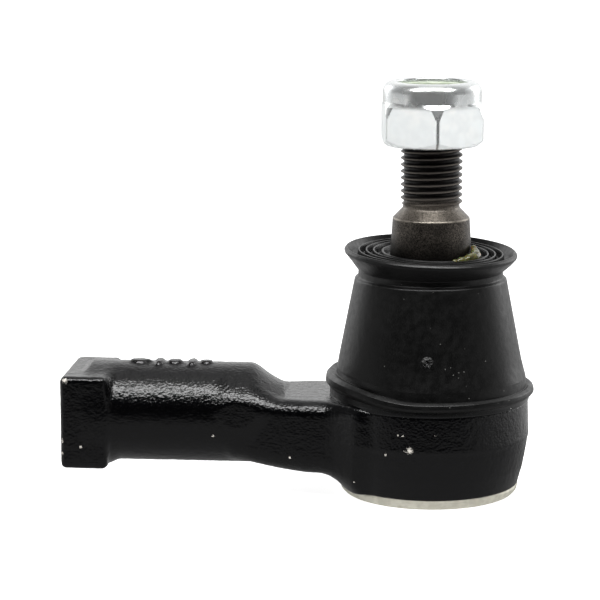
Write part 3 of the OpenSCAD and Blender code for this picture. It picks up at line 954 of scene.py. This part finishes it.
grease = {
    # drops that run together: place and radius
    "drops": ((9.7, -1.9, 38.1, 0.45), (10.1, -3.1, 37.2, 0.75), (10.4, -4.5, 36.5, 1.0),
              (9.6, -6.0, 36.3, 1.05), (8.4, -7.3, 36.2, 0.9), (7.0, -8.4, 36.1, 0.65),
              (5.6, -9.2, 36.0, 0.4)),
    "soft": 0.6, "low": (3.6, -11.2, 34.2), "high": (12.6, -0.2, 39.6), "cell": 0.25,
    "colours": ((0.03, 0.03, 0.008), (0.11, 0.108, 0.035)),
}


def greaseDistance(x, y, z):
    total = np.zeros_like(x)
    for across, deep, high, radius in grease["drops"]:
        away = np.sqrt((x - across) ** 2 + (y - deep) ** 2 + (z - high) ** 2) - radius
        total += np.exp(-np.minimum(away, 20) / grease["soft"])
    ripple = 0.07 * np.sin(2.1 * x + 1.3 * z) * np.sin(1.7 * y - 0.8 * z)
    return -grease["soft"] * np.log(np.maximum(total, 1e-12)) + ripple


def finishGrease():
    material, tree, shader = newMaterial("usedGrease", Roughness=0.12, Specular_IOR_Level=0.6,
                                         Subsurface_Weight=0.2, Subsurface_Scale=0.0008)
    grain = useGroup(tree, grainGroup, Coarse_Scale=700.0, Fine_Scale=2200.0, Fine_Share=0.3)
    setInput(tree, shader.inputs["Base Color"], mixColours(tree, grain["Mask"], *grease["colours"]))
    bumpInto(tree, shader, grain["Height"], 0.12, 0.8)
    return material


def makeGrease():
    points, faces, _ = growSurface(greaseDistance, grease["low"], grease["high"], grease["cell"])
    return makePiece("grease_smear", points, faces, sharpAngle=80, weld=0.0)


finishPiece(makeGrease(), finishGrease(), "boot_rubber", "neck_ring")
print("grease made")


# The CAD pieces that keep their shape: seats, springs, rings and cover.

def finishAcetal():
    material, tree, shader = newMaterial("seatPlastic", Roughness=0.35, Subsurface_Weight=0.15,
                                         Subsurface_Scale=0.002)
    grain = useGroup(tree, grainGroup, Coarse_Scale=350.0, Fine_Scale=2500.0, Fine_Share=0.3)
    setInput(tree, shader.inputs["Base Color"],
             mixColours(tree, grain["Mask"], (0.60, 0.57, 0.47), (0.72, 0.69, 0.60)))
    bumpInto(tree, shader, grain["Height"], 0.02, 0.4)
    return material


seatPlastic = finishAcetal()
springSteel = finishBareSteel("springSteel", (0.42, 0.43, 0.45), (0.28, 0.29, 0.31), 0.3, 700.0)
coverSteel = finishBareSteel("coverSteel", (0.78, 0.77, 0.72), (0.60, 0.59, 0.54), 0.32, 500.0)
carriedOver = {"upper_seat": seatPlastic, "lower_seat": seatPlastic, "preload_spring": springSteel,
               "boot_base_ring": springSteel, "boot_neck_ring": springSteel, "end_cover": coverSteel}
for node, material in carriedOver.items():
    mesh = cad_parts[node].data
    mesh.materials.clear()
    mesh.materials.append(material)
print("carried-over pieces finished")


# Camera, floor and light.

# across and down: how far the ball stands from the middle of the view, as shares of the distance
view = {"azimuth": 5.0, "elevation": 10.4, "distance": 574.0, "lens": 150.0,
        "across": 0.05172, "down": 0.0438}


def makeCamera():
    a, e = math.radians(view["azimuth"]), math.radians(view["elevation"])
    back = Vector((math.sin(a) * math.cos(e), -math.cos(a) * math.cos(e), math.sin(e)))
    right = Vector((0, 0, 1)).cross(back).normalized()
    up = back.cross(right)
    data = bpy.data.cameras.new("camera")
    data.lens, data.sensor_width, data.clip_start = view["lens"], 36, 0.01
    data.dof.use_dof = False
    camera = bpy.data.objects.new("camera", data)
    away = view["distance"] * mm
    camera.location = away * (back - right * view["across"] + up * view["down"])
    camera.rotation_euler = Matrix((right, up, back)).transposed().to_euler()
    bpy.context.scene.collection.objects.link(camera)
    bpy.context.scene.camera = camera


def makeFloor():
    mesh = bpy.data.meshes.new("floor")
    half, level = 30.0, (socketLow - 0.05) * mm
    corners = [(half * i, half * j, level) for i, j in ((-1, -1), (1, -1), (1, 1), (-1, 1))]
    mesh.from_pydata(corners, [], [(0, 1, 2, 3)])
    floor = bpy.data.objects.new("floor", mesh)
    bpy.context.scene.collection.objects.link(floor)
    material, tree, shader = newMaterial("paleFloor", Base_Color=(0.8, 0.8, 0.8), Roughness=0.9,
                                         Specular_IOR_Level=0.1)
    # mirrored in the part, the floor is bright near it and far to the sides, and dark further ahead
    _, x, y, _ = objectPlace(tree)
    path = addNode(tree, "ShaderNodeLightPath").outputs
    ahead = calculate(tree, "MULTIPLY_ADD", calculate(tree, "ABSOLUTE", x), 0.8, y)
    near = calculate(tree, "MAXIMUM", spread(tree, y, -0.125, -0.095), spread(tree, ahead, -0.06, 0.04))
    farSides = calculate(tree, "MULTIPLY", spread(tree, ahead, 0.05, 0.12), 0.42)
    mirrored = calculate(tree, "MULTIPLY_ADD", near, 0.27, farSides)
    glow = spread(tree, path["Is Glossy Ray"], 0, 1, 0.93, mirrored)
    emit = addNode(tree, "ShaderNodeEmission", Color=(1.0, 1.0, 1.0), Strength=glow)
    blank = addNode(tree, "ShaderNodeEmission", Color=(0, 0, 0), Strength=0.0)
    share = addNode(tree, "ShaderNodeMixShader", Fac=path["Is Glossy Ray"])
    both = addNode(tree, "ShaderNodeAddShader")
    surface = tree.nodes["Material Output"].inputs["Surface"]
    for source, socket in ((shader, share.inputs[1]), (blank, share.inputs[2]), (share, both.inputs[0]),
                           (emit, both.inputs[1]), (both, surface)):
        tree.links.new(source.outputs[0], socket)
    mesh.materials.append(material)


def makeWorld():
    world = bpy.data.worlds.new("studio")
    bpy.context.scene.world = world
    world.use_nodes = True
    tree = world.node_tree
    back = tree.nodes["Background"]
    direction = addNode(tree, "ShaderNodeTexCoord").outputs["Generated"]
    x, y, z = addNode(tree, "ShaderNodeSeparateXYZ", Vector=direction).outputs
    # dark ahead, dim to the sides, bright behind and overhead
    sides = spread(tree, y, -0.75, -0.4, 0.003, 0.12)
    behind = spread(tree, calculate(tree, "MULTIPLY_ADD", x, 0.10, y), 0.03, 0.85, 0.0, 0.95)
    overhead = spread(tree, z, 0.90, 0.985, 0.0, 0.9)
    around = calculate(tree, "MAXIMUM", calculate(tree, "ADD", sides, behind), overhead)
    path = addNode(tree, "ShaderNodeLightPath").outputs
    setInput(tree, back.inputs["Strength"], spread(tree, path["Is Camera Ray"], 0, 1, around, 0.95))
    back.inputs["Color"].default_value = (1, 1, 1, 1)


def makeLight(name, centre, target, size, power):
    data = bpy.data.lights.new(name, "AREA")
    data.shape, data.energy = "RECTANGLE", power
    data.size, data.size_y = size
    light = bpy.data.objects.new(name, data)
    light.location = centre
    light.rotation_euler = (Vector(target) - Vector(centre)).to_track_quat("-Z", "Y").to_euler()
    bpy.context.scene.collection.objects.link(light)


makeCamera()
makeFloor()
makeWorld()
makeLight("topSoftbox", (0.0, -0.30, 0.54), (-0.03, 0, 0.02), (0.9, 0.15), 5.6)
makeLight("leftSoftbox", (-0.50, 0.40, 0.22), (0, 0, 0.02), (0.3, 0.4), 0.5)
makeLight("rightSoftbox", (0.50, 0.40, 0.22), (0, 0, 0.02), (0.3, 0.4), 0.8)
bpy.context.scene.view_settings.view_transform = "Standard"
print("stage ready")
